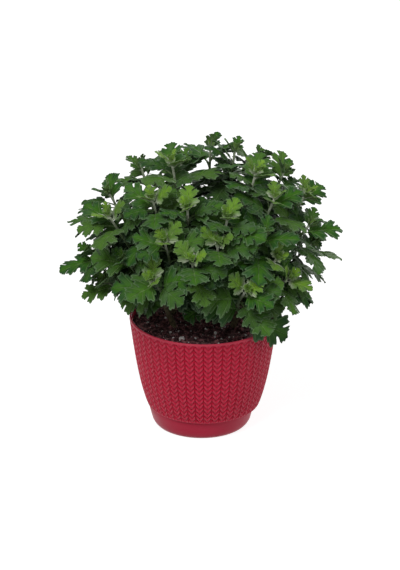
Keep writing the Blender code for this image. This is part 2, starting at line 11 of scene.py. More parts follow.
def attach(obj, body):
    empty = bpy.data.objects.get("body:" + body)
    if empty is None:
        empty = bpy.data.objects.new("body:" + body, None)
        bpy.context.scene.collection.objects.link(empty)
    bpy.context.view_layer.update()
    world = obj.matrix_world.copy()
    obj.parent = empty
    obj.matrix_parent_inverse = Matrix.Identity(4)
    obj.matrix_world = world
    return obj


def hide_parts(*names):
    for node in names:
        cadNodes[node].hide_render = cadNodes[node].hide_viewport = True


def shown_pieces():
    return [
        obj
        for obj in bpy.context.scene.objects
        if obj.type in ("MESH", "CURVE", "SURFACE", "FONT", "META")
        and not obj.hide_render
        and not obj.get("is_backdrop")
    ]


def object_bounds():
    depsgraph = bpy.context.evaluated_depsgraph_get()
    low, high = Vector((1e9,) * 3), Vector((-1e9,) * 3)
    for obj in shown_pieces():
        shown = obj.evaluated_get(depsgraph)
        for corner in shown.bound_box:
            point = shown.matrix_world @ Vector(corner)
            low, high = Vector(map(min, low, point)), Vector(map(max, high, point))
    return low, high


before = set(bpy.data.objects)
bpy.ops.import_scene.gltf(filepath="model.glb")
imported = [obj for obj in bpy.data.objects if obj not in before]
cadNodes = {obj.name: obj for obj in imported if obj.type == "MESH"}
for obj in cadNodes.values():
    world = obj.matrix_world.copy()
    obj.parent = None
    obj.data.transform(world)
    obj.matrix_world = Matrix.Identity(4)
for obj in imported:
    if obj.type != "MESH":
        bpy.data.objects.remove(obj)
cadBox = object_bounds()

mm = 0.001
weld = 0.00001  # points nearer than this, in metres, are merged
scene = bpy.context.scene
print("frame loaded,", len(cadNodes), "solids")


# Shader expressions

class Graph:
    # one material; new nodes come from node(), and arithmetic on Value makes its own

    def __init__(self, name, finish):
        self.material = bpy.data.materials.new(name)
        self.material.use_nodes = True
        self.tree = self.material.node_tree
        self.shader = self.tree.nodes["Principled BSDF"]
        for key, value in finish.items():  # what is the same all over
            self.shader.inputs[key].default_value = value

    def node(self, kind, settings=None, inputs=None):
        item = self.tree.nodes.new("ShaderNode" + kind)
        for key, value in (settings or {}).items():
            setattr(item, key, value)
        for key, value in (inputs or {}).items():
            self.feed(item.inputs[key], value)
        return item

    def feed(self, socket, value):
        if isinstance(value, Value):
            self.tree.links.new(value.socket, socket)
        elif isinstance(value, bpy.types.NodeSocket):
            self.tree.links.new(value, socket)
        elif isinstance(value, tuple) and len(value) == 3 and socket.type == "RGBA":
            socket.default_value = (*value, 1)
        else:
            socket.default_value = value

    def noise(self, size, detail=3.0):
        # size is in metres
        source = self.node("TexCoord").outputs["Object"]
        made = self.node("TexNoise", None,
                         {"Vector": source, "Scale": 1 / size, "Detail": detail, "Roughness": 0.55})
        return Value(self, made.outputs["Fac"])

    def attribute(self, name):
        made = self.node("Attribute", {"attribute_name": name})
        parts = self.node("SeparateXYZ", None, {"Vector": made.outputs["Vector"]})
        return [Value(self, parts.outputs[k]) for k in range(3)]

    def mix(self, share, first, second):
        made = self.node("Mix", {"data_type": "RGBA", "clamp_factor": True}, {0: share, 6: first, 7: second})
        return made.outputs[2]

    def bump(self, height, distance, strength=1.0):
        made = self.node("Bump", None, {"Height": height, "Distance": distance, "Strength": strength})
        self.feed(self.shader.inputs["Normal"], made.outputs["Normal"])

    def paint(self, **inputs):
        names = {"colour": "Base Color", "roughness": "Roughness"}
        for key, value in inputs.items():
            self.feed(self.shader.inputs[names[key]], value)
        return self.material


class Value:
    # a socket that can be used like a number

    def __init__(self, graph, socket):
        self.graph = graph
        self.socket = socket

    def math(self, operation, *others):
        inputs = {0: self}
        for index, other in enumerate(others):
            inputs[index + 1] = other
        return Value(self.graph, self.graph.node("Math", {"operation": operation}, inputs).outputs[0])

    def __add__(self, other):
        return self.math("ADD", other)

    __radd__ = __add__

    def __sub__(self, other):
        return self.math("SUBTRACT", other)

    def __rsub__(self, other):
        return self.math("MULTIPLY", -1.0).math("ADD", other)

    def __mul__(self, other):
        return self.math("MULTIPLY", other)

    __rmul__ = __mul__

    def __abs__(self):
        return self.math("ABSOLUTE")

    def smooth(self, low, high):
        # 0 below low and 1 above high, eased between
        made = self.graph.node("MapRange", {"interpolation_type": "SMOOTHSTEP"},
                               {"Value": self, "From Min": low, "From Max": high})
        return Value(self.graph, made.outputs[0])

    def more(self, other):
        return self.math("MAXIMUM", other)


# Pieces

def meshOf(name, shape, looks=()):
    mesh = bpy.data.meshes.new(name)
    shape.to_mesh(mesh)
    shape.free()
    for look in looks:
        mesh.materials.append(look)
    return mesh


def addPiece(name, shape, looks, nodes=(), sharp=40):
    mesh = meshOf(name, shape, looks)
    mesh.shade_smooth()
    mesh.set_sharp_from_angle(angle=math.radians(sharp))
    piece = bpy.data.objects.new(name, mesh)
    scene.collection.objects.link(piece)
    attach(piece, "root")
    if nodes:
        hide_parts(*nodes)
    return piece


def turn(profile, steps, centre=(0, 0)):
    # a closed solid turned round the upright axis; its (radius, height) pairs start and end on that axis
    shape = bmesh.new()
    knots = [shape.verts.new((radius, 0, height)) for radius, height in profile]
    edges = [shape.edges.new(pair) for pair in zip(knots, knots[1:])]
    bmesh.ops.spin(shape, geom=knots + edges, cent=(0, 0, 0), axis=(0, 0, 1), angle=2 * math.pi,
                   steps=steps, use_merge=True)
    bmesh.ops.remove_doubles(shape, verts=shape.verts, dist=weld)
    bmesh.ops.recalc_face_normals(shape, faces=shape.faces)
    bmesh.ops.translate(shape, verts=shape.verts, vec=(*centre, 0))
    return shape


def ease(value):
    value = min(max(value, 0), 1)
    return value * value * (3 - 2 * value)


# Pot

pot = {
    "rimRadius": 74.3 * mm, "rimHeight": 116.5 * mm, "rimBand": 1.7 * mm, "lipHeight": 21.8 * mm,
    "taper": 12.4 * mm, "belly": 5.6 * mm, "bellyPower": 3.8, "wall": 2.4 * mm,
    "floor": 2.9 * mm, "floorWall": 2.6 * mm,
    "footTop": 49.2 * mm, "footBottom": 43.5 * mm, "footDown": 2 * mm,
    # over the rounded rim: radius from the rim's and height below the top, in mm
    "rimCurve": [(0.1, 1.4), (0.1, 0.9), (-0.15, 0.35), (-0.7, 0), (-1.5, 0.05), (-2.4, 0.7)],
    "insideHeights": (108 * mm, 72 * mm, 42 * mm, 26.8 * mm),
    "lipIn": 0.9 * mm, "lipDown": 0.25 * mm, "ledgeDown": 0.3 * mm,
    "wales": 48, "rows": 17, "columnsPerWale": 11, "linesPerRow": 9,
    "rise": 1.05,        # how far an arm climbs from the middle of a stitch, in rows
    "relief": 1.9 * mm,  # crest to groove
    "groove": 0.68,      # share of the relief that lies below the pot's even surface
    # an arm's height in the middle of its stitch and at the wale's edge, what it gains beside these dips,
    # and how wide they are, in half wales
    "middleArm": (0.72, 0.28), "edgeArm": (0.42, 0.58), "dipWidth": 0.2,
    # lines over which the knit runs out at the lip and under the rim, and how much it sinks there
    "fadeLow": 3, "fadeHigh": 2, "fadeSink": 0.2,
    "drainRing": 26 * mm, "drainRadius": 4.5 * mm, "drainSteps": 24, "drains": 3,
}
base = {
    "shift": -2 * mm, "top": 21.3 * mm, "topRadius": 54.2 * mm, "wall": 2 * mm, "floor": 2.6 * mm,
    "floorOut": 3 * mm, "rimRound": 0.4 * mm, "rimDrop": 0.3 * mm, "steps": 160,
    # radius and height in mm
    "outside": [(53.9, 20.9), (52.7, 16.0), (50.9, 9.0), (49.9, 5.4), (48.6, 2.9), (46.9, 1.0),
                (44.5, 0.15), (43.6, 0)],
}


def potRadius(height):
    down = (pot["rimHeight"] - height) / (pot["rimHeight"] - pot["lipHeight"])
    return pot["rimRadius"] - pot["taper"] * down - pot["belly"] * max(down, 0) ** pot["bellyPower"]


def stitchRelief(across, along):
    # across is -1 to 1 over one wale, along counts rows; the result is 0 in a groove and 1 on a crest
    side = abs(across)
    arm = (along - pot["rise"] * side) % 1.0
    bulge = math.sqrt(max(0, 1 - (2 * abs(arm - 0.5)) ** 2))
    # the arm dips a little in the middle of its stitch and deep at the wale's edge
    low, gain = pot["middleArm"]
    middle = low + gain * ease(side / pot["dipWidth"])
    low, gain = pot["edgeArm"]
    outer = low + gain * ease((1 - side) / pot["dipWidth"])
    return bulge * middle * outer


def knitSheet():
    columns = pot["wales"] * pot["columnsPerWale"]
    bottom = pot["lipHeight"]
    top = pot["rimHeight"] - pot["rimBand"]
    lines = pot["rows"] * pot["linesPerRow"]
    heights = [bottom + (top - bottom) * k / lines for k in range(lines + 1)]
    shape = bmesh.new()
    # the relief, which the shader also uses to paint shade in the grooves and a highlight on the crests
    crest = shape.verts.layers.float_vector.new("crest")
    bmesh.ops.create_grid(shape, x_segments=columns, y_segments=lines, size=1)
    for point in shape.verts:
        column = round((point.co.x + 1) / 2 * columns)
        line = round((point.co.y + 1) / 2 * lines)
        height = heights[line]
        across = (column % pot["columnsPerWale"]) / pot["columnsPerWale"] * 2 - 1
        along = line / pot["linesPerRow"]
        edge = ease(line / pot["fadeLow"]) * ease((lines - line) / pot["fadeHigh"])
        relief = 1 - edge + stitchRelief(across, along) * edge
        sink = pot["fadeSink"] * (1 - edge)
        radius = potRadius(height) + (relief - pot["groove"] - sink) * pot["relief"]
        angle = 2 * math.pi * column / columns
        point[crest] = (relief, 0, 0)
        point.co = (radius * math.sin(angle), -radius * math.cos(angle), height)
    bmesh.ops.remove_doubles(shape, verts=shape.verts, dist=weld)
    return shape


def boundaryRing(shape, low):
    # the open ring of edges at the bottom or the top of a sheet
    rings = [edge for edge in shape.edges if edge.is_boundary]
    middle = sum((edge.verts[0].co.z for edge in rings), 0) / len(rings)
    return [edge for edge in rings if (edge.verts[0].co.z < middle) == low]


def growRing(shape, ring, radius, height):
    # the ring is extruded to a new radius and height
    made = bmesh.ops.extrude_edge_only(shape, edges=ring)["geom"]
    for point in made:
        if isinstance(point, bmesh.types.BMVert):
            flat = point.co.to_2d().normalized() * radius
            point.co = (flat.x, flat.y, height)
    return [edge for edge in made if isinstance(edge, bmesh.types.BMEdge) and edge.is_boundary]


def drainedFloor(shape, ring, height):
    # a floor across the ring with the drain holes left open
    holes = []
    for index in range(pot["drains"]):
        angle = 2 * math.pi * (index + 0.5) / pot["drains"]
        x = pot["drainRing"] * math.cos(angle)
        y = pot["drainRing"] * math.sin(angle)
        made = bmesh.ops.create_circle(shape, segments=pot["drainSteps"], radius=pot["drainRadius"],
                                       matrix=Matrix.Translation((x, y, height)))["verts"]
        holes.append(list(dict.fromkeys(edge for point in made for edge in point.link_edges)))
    bmesh.ops.triangle_fill(shape, use_beauty=True, edges=ring + sum(holes, []))
    return holes


def makePot(look):
    shape = knitSheet()
    wall = pot["wall"]
    lip = pot["lipHeight"]
    outside = boundaryRing(shape, True)
    ring = boundaryRing(shape, False)
    # over the rim and down the inside
    rings = [(pot["rimRadius"] + over * mm, pot["rimHeight"] - down * mm) for over, down in pot["rimCurve"]]
    rings += [(potRadius(height) - wall, height) for height in pot["insideHeights"]]
    rings.append((pot["footTop"] - wall, lip - pot["footDown"]))
    rings.append((pot["footBottom"] - wall, pot["floor"] + pot["floorWall"]))
    for radius, height in rings:
        ring = growRing(shape, ring, radius, height)
    inner = drainedFloor(shape, ring, height)
    # under the lip and down the foot
    rings = [(potRadius(lip) - pot["lipIn"], lip - pot["lipDown"]), (pot["footTop"], lip - pot["ledgeDown"])]
    rings.append((pot["footBottom"], pot["floor"]))
    ring = outside
    for radius, height in rings:
        ring = growRing(shape, ring, radius, height)
    outer = drainedFloor(shape, ring, height)
    for upper, lower in zip(inner, outer):
        bmesh.ops.bridge_loops(shape, edges=upper + lower)
    bmesh.ops.recalc_face_normals(shape, faces=shape.faces)
    return addPiece("knit_pot", shape, [look], ["pot_body"], 50)


def makeBase(look):
    inner = base["topRadius"] - base["wall"]
    top = base["top"]
    profile = [(0, base["floor"]), (pot["footBottom"] + base["floorOut"], base["floor"])]
    profile += [(inner, top - base["rimDrop"]), (inner + base["rimRound"], top)]
    profile.append((base["topRadius"] - base["rimRound"], top))
    profile += [(radius * mm, height * mm) for radius, height in base["outside"]]
    profile.append((0, 0))
    shape = turn(profile, base["steps"], (base["shift"], 0))
    return addPiece("smooth_base", shape, [look], ["pot_base"], 35)


knitPlastic = {
    "colour": (0.61, 0.009, 0.048), "pale": (0.67, 0.018, 0.066), "roughness": 0.36,
    # groove is painted shade for the knit's grooves, and crest a painted highlight for the tops of its crests
    "groove": (0.35, 0.0005, 0.013), "crest": (0.74, 0.085, 0.135),
}
basePlastic = {"colour": (0.54, 0.012, 0.050), "pale": (0.60, 0.022, 0.066), "roughness": 0.34}


def plasticLook(name, paint):
    # moulded plastic: slightly uneven gloss and a fine grain; a knit gets painted shade in its grooves and a
    # painted highlight on top of its crests
    graph = Graph(name, {"IOR": 1.46, "Specular IOR Level": 0.2})
    cloud = graph.noise(0.03, 2)
    grain = graph.noise(0.0007, 2)
    shade = graph.mix(cloud.smooth(0.3, 0.75) * 0.35, paint["colour"], paint["pale"])
    if "groove" in paint:
        crest = graph.attribute("crest")[0]
        # painted shade in the grooves, then a painted highlight on the crests' tops; the plain bands past the
        # knit count as crest tops
        shade = graph.mix(crest.smooth(0.1, 0.8), paint["groove"], shade)
        shade = graph.mix(crest.smooth(0.9, 1.0) * 0.55, shade, paint["crest"])
    graph.bump(grain, 0.00008, 0.5)
    return graph.paint(colour=shade, roughness=paint["roughness"] + cloud * 0.12)


makePot(plasticLook("red knit plastic", knitPlastic))
makeBase(plasticLook("smooth red plastic", basePlastic))
print("pot done")


# Soil

soil = {
    "top": 109.5 * mm, "lump": 1.6 * mm, "fineLump": 1.2, "rings": 46, "steps": 150,
    "wallGap": 0.4 * mm, "footGap": 0.6 * mm, "floorGap": 3 * mm, "sideHeights": (80 * mm, 52 * mm, 34 * mm),
    "grainMargin": 2.2 * mm, "grainPower": 2.5,  # the higher the power, the fewer large grains
    "grainRough": 0.35,  # in radii of a grain
    "seed": 5,
}
crumbs = {"count": 1000, "size": (0.6, 3.0), "lift": 0.2, "squash": 0.5}
perlite = {
    "count": 120, "size": (0.4, 1.3), "lift": 0.55, "squash": 0.75,
    # the larger grains, placed as seen: x, y and radius in mm
    "spots": [(-22, -47, 3.3), (12, -32, 1.8), (11, -41, 1.7), (-33, -28, 1.6), (-41, -26, 1.5),
              (-56, -7, 1.4), (-63, 19, 1.4), (-12, 5, 1.2), (-38, 4, 1.3), (-24, 22, 1.3), (-8, -46, 1.5),
              (30, -45, 1.6), (-47, -14, 1.2), (2, -22, 1.3), (42, -38, 1.4), (-30, -44, 1.2)],
}


def soilHeight(x, y):
    place = Vector((x, y, 0))
    lump = noise.noise(place * 55) + 0.5 * noise.noise(Vector((x, y, 0.3)) * 130)
    fine = noise.noise(place * 330) * 0.5 + noise.noise(place * 800) * 0.3
    return soil["top"] + soil["lump"] * lump + fine * soil["fineLump"] * mm


def makeSoil(look):
    wall = pot["wall"]
    bottom = pot["floor"] + soil["floorGap"]
    edge = potRadius(soil["top"]) - wall - soil["wallGap"]
    shares = [k / soil["rings"] for k in range(soil["rings"] + 1)]
    profile = [(edge * share, soil["top"]) for share in shares]
    for height in soil["sideHeights"]:
        profile.append((potRadius(height) - wall - soil["wallGap"], height))
    profile.append((pot["footTop"] - wall - soil["footGap"], pot["lipHeight"] - pot["footDown"]))
    profile += [(pot["footBottom"] - wall - soil["footGap"], bottom), (0, bottom)]
    shape = turn(profile, soil["steps"])
    for point in shape.verts:
        if point.co.z > soil["top"] - 0.1 * mm:
            point.co.z = soilHeight(point.co.x, point.co.y)
    return addPiece("potting_soil", shape, [look], ["soil"], 60)


def scatter(grains, chance):
    # small lumps on the soil's surface
    shape = bmesh.new()
    places = []
    edge = potRadius(soil["top"]) - pot["wall"] - soil["grainMargin"]
    smallest, largest = grains["size"]
    for index in range(grains["count"]):
        angle = chance.uniform(0, 2 * math.pi)
        radius = edge * math.sqrt(chance.random())
        size = smallest + (largest - smallest) * chance.random() ** soil["grainPower"]
        places.append((radius * math.cos(angle), radius * math.sin(angle), size * mm))
    places += [(x * mm, y * mm, size * mm) for x, y, size in grains.get("spots", [])]
    for x, y, size in places:
        spin = Matrix.Rotation(chance.uniform(0, 6.28), 4, "Z")
        spin = spin @ Matrix.Rotation(chance.uniform(0, 6.28), 4, "X")
        stretch = Matrix.Diagonal((1, chance.uniform(0.6, 1), chance.uniform(grains["squash"], 1), 1))
        spot = Matrix.Translation((x, y, soilHeight(x, y) + size * grains["lift"]))
        made = bmesh.ops.create_icosphere(shape, subdivisions=1, radius=size,
                                          matrix=spot @ spin @ stretch)
        for point in made["verts"]:
            point.co += noise.noise_vector(point.co * 900) * size * soil["grainRough"]
    return shape


soilPaint = {
    "dark": (0.064, 0.024, 0.029), "light": (0.420, 0.180, 0.190), "fleck": (0.52, 0.32, 0.28),
    "perliteDark": (0.88, 0.84, 0.82), "perliteLight": (1.0, 0.98, 0.97),
}


def soilLook():
    graph = Graph("dark potting mix", {"Specular IOR Level": 0.3})
    patch = graph.noise(0.005, 4)
    fleck = graph.noise(0.0018, 3)
    shade = graph.mix(patch.smooth(0.44, 0.68), soilPaint["dark"], soilPaint["light"])
    shade = graph.mix(fleck.smooth(0.60, 0.68) * 0.8, shade, soilPaint["fleck"])
    graph.bump(fleck + patch, 0.0008, 0.8)
    return graph.paint(colour=shade, roughness=0.82 + patch * 0.15)


def perliteLook():
    graph = Graph("perlite grain", {"Specular IOR Level": 0.3})
    patch = graph.noise(0.0012, 3)
    shade = graph.mix(patch.smooth(0.3, 0.7), soilPaint["perliteDark"], soilPaint["perliteLight"])
    graph.bump(patch, 0.0003, 0.6)
    return graph.paint(colour=shade, roughness=0.85 - patch * 0.1)


noise.seed_set(soil["seed"])  # noise vectors would otherwise differ from run to run
darkSoil = soilLook()
makeSoil(darkSoil)
addPiece("soil_crumbs", scatter(crumbs, random.Random(soil["seed"])), [darkSoil])
addPiece("perlite", scatter(perlite, random.Random(soil["seed"] + 1)), [perliteLook()])
print("soil done")


# Plant: where everything grows

# tip x, y, z in mm, length of the grown leaves, where the first of them points, and the kind of tip
shootList = [
    (-50, -56, 263, 35, 90, "bright"), (-92, -50, 243, 35, 90, "bright"), (-93, -5, 249, 35, 90, "plain"),
    (-31, -10, 283, 36, 60, "bright"), (7, 44, 279, 35, 80, "plain"), (31, 20, 284, 34, 275, "plain"),
    (51, -20, 276, 34, 290, "bright"), (69, -40, 257, 34, 255, "bright"), (80, 30, 258, 35, 300, "plain"),
    (101, 2, 245, 38, 230, "bright"), (104, -22, 222, 38, 220, "plain"), (-16, -62, 256, 33, 130, "bright"),
    (23, -72, 250, 36, 100, "bright"), (14, -90, 230, 38, 190, "bright"), (-38, -86, 231, 36, 110, "bright"),
    (-11, -99, 216, 37, 180, "bright"), (-49, -93, 194, 39, 150, "bright"), (-77, -64, 203, 40, 130, "plain"),
    (-111, -26, 194, 40, 175, "plain"), (58, -70, 232, 37, 230, "plain"), (71, -70, 206, 37, 260, "bright"),
    (41, -98, 184, 37, 180, "bright"), (46, -86, 163, 37, 180, "plain"), (83, -60, 182, 36, 330, "bright"),
    (107, -8, 196, 39, 185, "plain"), (-2, -54, 148, 28, 120, "plain"), (-62, 45, 256, 37, 70, "plain"),
    (-105, 40, 210, 38, 170, "plain"), (-45, 88, 220, 38, 110, "plain"), (26, 96, 226, 38, 200, "plain"),
    (90, 64, 204, 38, 250, "plain"), (-64, 86, 166, 39, 150, "plain"), (32, 104, 168, 39, 210, "plain"),
    (-22, 42, 262, 36, 20, "plain"), (56, 48, 264, 36, 340, "plain"), (-95, -42, 170, 36, 160, "plain"),
]
plant = {
    "cuttings": [(0, 4), (30, 18), (-30, 18), (-30, -16), (30, -16), (0, 36)],
    "innerReach": 34,    # in mm, of the shoots that grow from the middle cutting
    "outerSpread": 2.6,  # how much farther out than their own places the others are looked for
    "depth": 26 * mm, "pinch": 24 * mm, "spread": 1.25, "stubShare": 0.24,
    "dome": Vector((0, 5, 140)) * mm, "upturn": 0.5, "goldenAngle": math.radians(137.5), "seed": 7,
    "tipLength": 9 * mm, "youngCount": 3, "grownCount": 4, "gap": 0.3 * mm,
    "trunk": 3.2 * mm, "branch": 1.9 * mm, "tip": 1.1 * mm,
}
leaves = {
    "youngFirst": 1.5 * mm, "youngSpacing": 2.3 * mm, "youngLength": 15 * mm, "youngStep": 4.5 * mm,
    "grownFirst": 2 * mm, "grownSpacing": 6.5 * mm, "growth": (0.88, 1.05, 1.08, 1.1),
    "lastSpacing": 16 * mm,  # the lowest leaf of the solids hangs apart
    "lastShare": 0.36,       # where on a branch the leaves of the solids end
    # for the uppermost leaf, and the change to each one below: degrees from the stem, mm of stalk and bend
    "youngTilt": (16, 13), "youngStalk": (2.5, 1), "youngArch": (0.25, 0.1), "youngFold": 0.32,
    "grownTilt": (47, 11), "grownStalk": (6, 2), "grownArch": (0.4, 0.12), "grownFold": 0.22,
    "droop": 0.5, "thickness": 0.4 * mm,
    "tries": 24, "trySwing": 0.22, "tryTilt": 0.04, "tryLeans": 5, "tryShrink": 0.03,
    "match": 1.2 * mm,  # how near the solid's own leaf tip has to be
}


def curvePoint(route, share):
    start, control, end = route
    near = start.lerp(control, share)
    far = control.lerp(end, share)
    return near.lerp(far, share), (far - near).normalized()


def cuttingOf(x, y):
    # inner shoots grow from the middle cutting, the others from the nearest one round it
    if math.hypot(x, y) < plant["innerReach"]:
        return 0
    spots = plant["cuttings"]
    out = plant["outerSpread"]
    return min(range(1, len(spots)), key=lambda k: math.hypot(spots[k][0] * out - x, spots[k][1] * out - y))


def pinchPoint(cutting):
    # where a cutting was pinched and branches
    x, y = plant["cuttings"][cutting]
    return Vector((x * mm * plant["spread"], y * mm * plant["spread"], soil["top"] + plant["pinch"]))


def planShoot(index, row):
    x, y, z, length, first, kind = row
    tip = Vector((x, y, z)) * mm
    cutting = cuttingOf(x, y)
    pinch = pinchPoint(cutting)
    outward = (tip - plant["dome"]).normalized()
    facing = (outward + Vector((0, 0, plant["upturn"]))).normalized()
    route = (pinch, tip - facing * (tip - pinch).length * 0.5, tip)
    stops = [curvePoint(route, k / 20)[0] for k in range(21)]
    reach = sum((after - before).length for before, after in zip(stops, stops[1:]))
    bright = kind == "bright"
    return {
        "node": f"shoot_{index + 1:02d}", "tipNode": f"tip_{index + 1:02d}", "cutting": cutting,
        "route": route, "reach": reach, "length": length * mm, "turn": math.radians(first),
        "bright": bright, "split": 1 - plant["tipLength"] / reach if bright else 1,
        "leaves": [], "tipLeaves": [],
    }


def leafFrame(root, way, around, tilt, roll):
    # x across the leaf, y out along it and z out of its upper face
    side = way.cross(Vector((0, 0, 1)))
    side = side.normalized() if side.length > 0.01 else Vector((1, 0, 0))
    out = Matrix.Rotation(around, 3, way) @ side.cross(way).normalized()
    along = (out * math.sin(tilt) + way * math.cos(tilt)).normalized()
    across = along.cross(way).normalized()
    face = across.cross(along).normalized()
    spin = Matrix.Rotation(roll, 3, along)
    made = Matrix((spin @ across, along, spin @ face)).transposed().to_4x4()
    made.translation = root
    return made


def bend(leaf, x, y, lift=0.0):
    # a point in shares of the blade, y from -1 at the foot of the stalk to 1 at the tip, bent into place
    total = leaf["stalk"] + leaf["length"]
    curl = leaf["arch"] / total
    along = leaf["stalk"] * (1 + y) if y < 0 else leaf["stalk"] + leaf["length"] * y
    across = x * leaf["length"]
    normal = abs(across) * leaf["fold"] - leaf["droop"] * across * across / leaf["length"] + lift
    angle = curl * along
    forward = math.sin(angle) / curl + normal * math.sin(angle)
    up = (math.cos(angle) - 1) / curl + normal * math.cos(angle)
    return leaf["frame"] @ Vector((across, forward, up))


def vertexTree(node):
    points = cadNodes[node].data.vertices
    tree = KDTree(len(points))
    for point in points:
        tree.insert(point.co, point.index)
    tree.balance()
    return tree


def placesTried(root, way, around, tilt, roll, rule):
    # swung farther and farther to either side, and leaned up by turns
    for attempt in range(rule["tries"]):
        swing = (attempt + 1) // 2 * (1 if attempt % 2 else -1) * rule["trySwing"]
        lean = tilt - rule["tryTilt"] * (attempt % rule["tryLeans"])
        yield attempt, leafFrame(root, way, around + swing, lean, roll)


def planLeaves(shoots):
    # the same draws as in the solids; the place taken is the one where the solid has its leaf tip
    chance = random.Random(plant["seed"])
    trees = {}
    found = 0
    for rank in range(plant["youngCount"] + plant["grownCount"]):
        young = rank < plant["youngCount"]
        for shoot in shoots:
            turnNoise = chance.uniform(-0.2, 0.2)
            sizeNoise = chance.uniform(0.92, 1.08)
            roll = chance.uniform(-0.25, 0.25)
            if young:
                kind, step = "young", rank
                below = leaves["youngFirst"] + leaves["youngSpacing"] * rank
                length = (leaves["youngLength"] + leaves["youngStep"] * rank) * sizeNoise
            else:
                kind, step = "grown", rank - plant["youngCount"]
                below = plant["tipLength"] + leaves["grownFirst"] + leaves["grownSpacing"] * min(step, 2)
                below += leaves["lastSpacing"] * max(step - 2, 0)
                length = shoot["length"] * sizeNoise * leaves["growth"][step]
            tilt, stalk, arch = [first + change * step for first, change in
                                 (leaves[kind + "Tilt"], leaves[kind + "Stalk"], leaves[kind + "Arch"])]
            if 1 - below / shoot["reach"] < leaves["lastShare"]:
                continue
            onTip = young and shoot["bright"]
            node = shoot["tipNode"] if onTip else shoot["node"]
            if node not in trees:
                trees[node] = vertexTree(node)
            root, way = curvePoint(shoot["route"], 1 - below / shoot["reach"])
            around = shoot["turn"] + plant["goldenAngle"] * (rank - plant["youngCount"]) + turnNoise
            for attempt, place in placesTried(root, way, around, math.radians(tilt), roll, leaves):
                leaf = {
                    "frame": place, "length": length * (1 - leaves["tryShrink"] * (attempt // 2)),
                    "stalk": stalk * mm, "arch": arch, "fold": leaves[kind + "Fold"],
                    "droop": leaves["droop"], "young": young, "rank": rank,
                }
                if trees[node].find(bend(leaf, 0, 1))[2] < leaves["match"]:
                    shoot["tipLeaves" if onTip else "leaves"].append(leaf)
                    found += 1
                    break
    print("leaves found in the solids:", found)


shoots = [planShoot(index, row) for index, row in enumerate(shootList)]
planLeaves(shoots)


# Leaf shape

# half outline of a grown leaf in shares of the blade: (across, along)
leafOutline = [
    (0.018, 0.0), (0.04, 0.03), (0.085, 0.055), (0.15, 0.07), (0.225, 0.082), (0.3, 0.104),
    (0.352, 0.15), (0.326, 0.194), (0.334, 0.22), (0.392, 0.232), (0.45, 0.272), (0.484, 0.338),
    (0.448, 0.372), (0.394, 0.378), (0.384, 0.404), (0.376, 0.458), (0.326, 0.46), (0.27, 0.44),
    (0.216, 0.42), (0.176, 0.416), (0.16, 0.438), (0.172, 0.474), (0.208, 0.508), (0.258, 0.532),
    (0.318, 0.556), (0.358, 0.602), (0.326, 0.636), (0.342, 0.656), (0.392, 0.684), (0.424, 0.746),
    (0.382, 0.77), (0.332, 0.766), (0.32, 0.79), (0.302, 0.838), (0.25, 0.816), (0.2, 0.778),
    (0.156, 0.742), (0.126, 0.742), (0.122, 0.762), (0.138, 0.792), (0.17, 0.828), (0.21, 0.864),
    (0.226, 0.91), (0.186, 0.91), (0.158, 0.916), (0.146, 0.962), (0.106, 0.956), (0.076, 0.956),
    (0.058, 0.984), (0.028, 0.998), (0.0, 1.0),
]
# where a row of the outline leaves the midrib: (row, along)
ribStops = [(0, 0.0), (11, 0.06), (20, 0.25), (29, 0.38), (38, 0.56), (50, 1.0)]
mainVeins = (11, 29)  # rows that a main side vein runs out to
sideVeins = (6, 15.5, 25, 33.5, 41)
blade = {
    "bulge": 0.9, "weld": 0.0004, "veinWidth": 7, "footGap": 2,
    "sink": 0.3 * mm, "sinkShare": 0.3,  # along the midrib
    "waves": 11, "otherSide": 2.2,       # of the ruffles, and how far the left half is out of step
    "slant": 0.05,
}


def ribShare(row):
    for (low, start), (high, end) in zip(ribStops, ribStops[1:]):
        if row <= high:
            return start + (end - start) * (row - low) / (high - low)
    return 1.0


def leafTemplate(step, columns):
    # a flat two-faced leaf; "spot" holds the row, the share of the way out to the edge, and 1 underneath
    last = len(leafOutline) - 1
    picked = sorted(set(range(0, last, step)) | {last})
    rows = len(picked) - 1
    shape = bmesh.new()
    bmesh.ops.create_grid(shape, x_segments=rows, y_segments=columns, size=1)
    spot = shape.verts.layers.float_vector.new("spot")
    for point in shape.verts:
        row = round((point.co.x + 1) / 2 * rows)
        share = round((point.co.y + 1) / 2 * columns) / columns
        x, y = leafOutline[picked[row]]
        foot = ribShare(picked[row])
        point[spot] = (picked[row] / last, share, 0)
        share = share ** blade["bulge"]
        point.co = (x * share, foot + (y - foot) * share, 0)
    bmesh.ops.remove_doubles(shape, verts=shape.verts, dist=blade["weld"])
    geometry = shape.verts[:] + shape.edges[:] + shape.faces[:]
    bmesh.ops.mirror(shape, geom=geometry, matrix=Matrix.Identity(4), merge_dist=blade["weld"], axis="X")
    for face in shape.faces:
        face.normal_update()
        if face.normal.z < 0:
            face.normal_flip()
    geometry = shape.verts[:] + shape.edges[:] + shape.faces[:]
    copied = bmesh.ops.duplicate(shape, geom=geometry)["geom"]
    under = [item for item in copied if isinstance(item, bmesh.types.BMVert)]
    faces = [item for item in copied if isinstance(item, bmesh.types.BMFace)]
    bmesh.ops.reverse_faces(shape, faces=faces)
    for point in under:
        point[spot] = (point[spot][0], point[spot][1], 1)
        point.co.z = -1
    rims = [edge for edge in shape.edges if edge.is_boundary]
    bmesh.ops.bridge_loops(shape, edges=rims)
    return meshOf("leaf shape", shape)


def kept(place):
    # inside the solids' box
    return Vector([min(max(place[k], cadBox[0][k]), cadBox[1][k]) for k in range(3)])


def quilt(row):
    # 0 on a vein, at the foot and at the tip, and 1 well between them
    gaps = [abs(row - vein) for vein in mainVeins]
    gaps += [abs(row - (len(leafOutline) - 1)), row + blade["footGap"]]
    return ease(min(gaps) / blade["veinWidth"])


